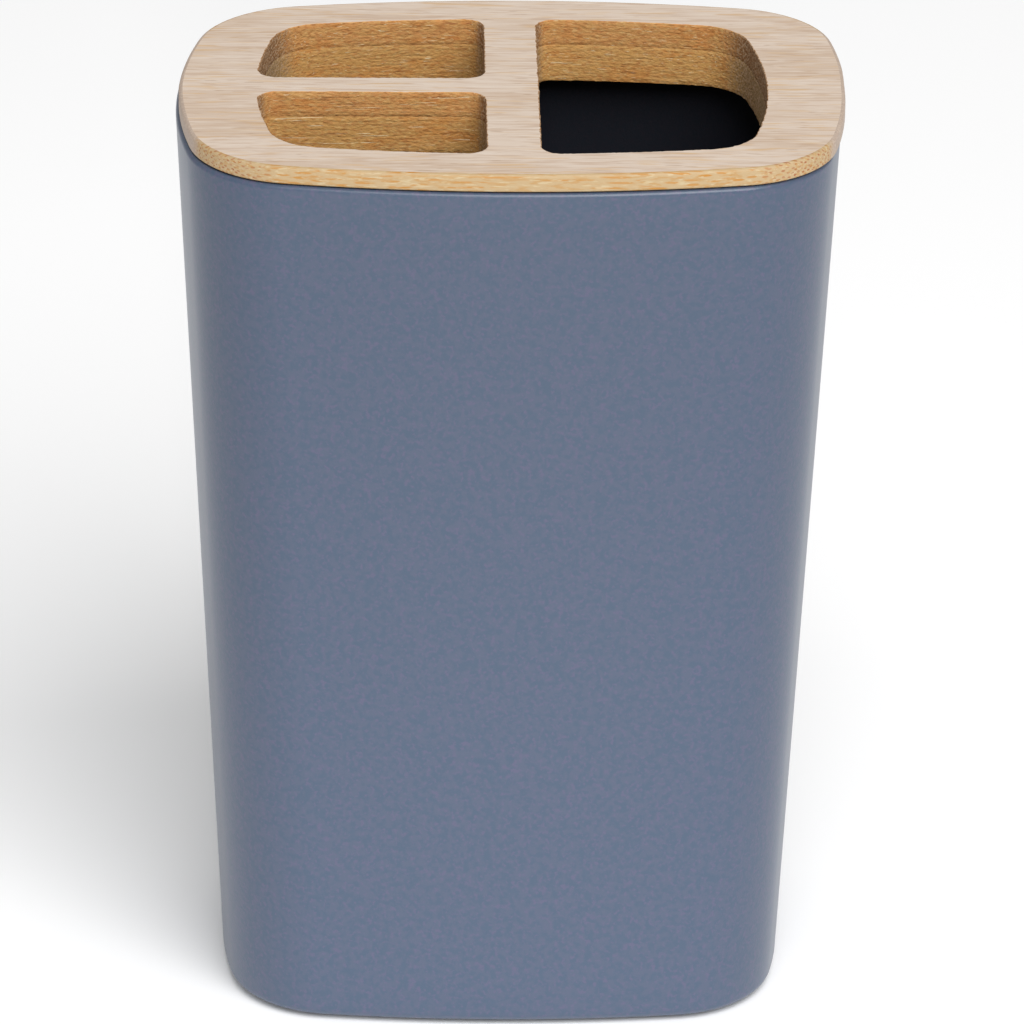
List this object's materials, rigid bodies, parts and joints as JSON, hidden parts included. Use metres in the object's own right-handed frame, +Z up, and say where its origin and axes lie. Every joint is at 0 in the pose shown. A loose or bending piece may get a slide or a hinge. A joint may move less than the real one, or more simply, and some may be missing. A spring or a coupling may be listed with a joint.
{
  "type": "toothbrush holder",
  "caption": "Tapered tumbler with a lift-off wooden lid whose openings hold toothbrushes and a toothpaste tube upright.",
  "frame": {"origin": "centre of the base, on the surface that the pads stand on", "axes": "+Z up; +Y to the rear; +X to the right, the side of the single long opening"},
  "size_m": [0.0848, 0.0592, 0.1225],
  "materials": {
    "tumbler_plastic": "moulded plastic, fine matt texture, dusty blue-grey",
    "bamboo_face": "sanded laminated bamboo, unlacquered, straight grain along X",
    "bamboo_plug": "routed laminated bamboo, cut surfaces darker than the face",
    "pad_silicone": "soft cloudy silicone, matt"
  },
  "bodies": {
    "holder": {"tumbler": "tumbler_plastic", "foot_pad_front_left": "pad_silicone", "foot_pad_front_right": "pad_silicone", "foot_pad_rear_left": "pad_silicone", "foot_pad_rear_right": "pad_silicone"},
    "lid": {"lid_face_layer": "bamboo_face", "lid_plug_layer": "bamboo_plug"}
  },
  "joints": [
    {"name": "lid_lift", "type": "slide", "parent": "holder", "child": "lid", "axis": [0, 0, 1], "range_m": [0, 0.03]}
  ]
}
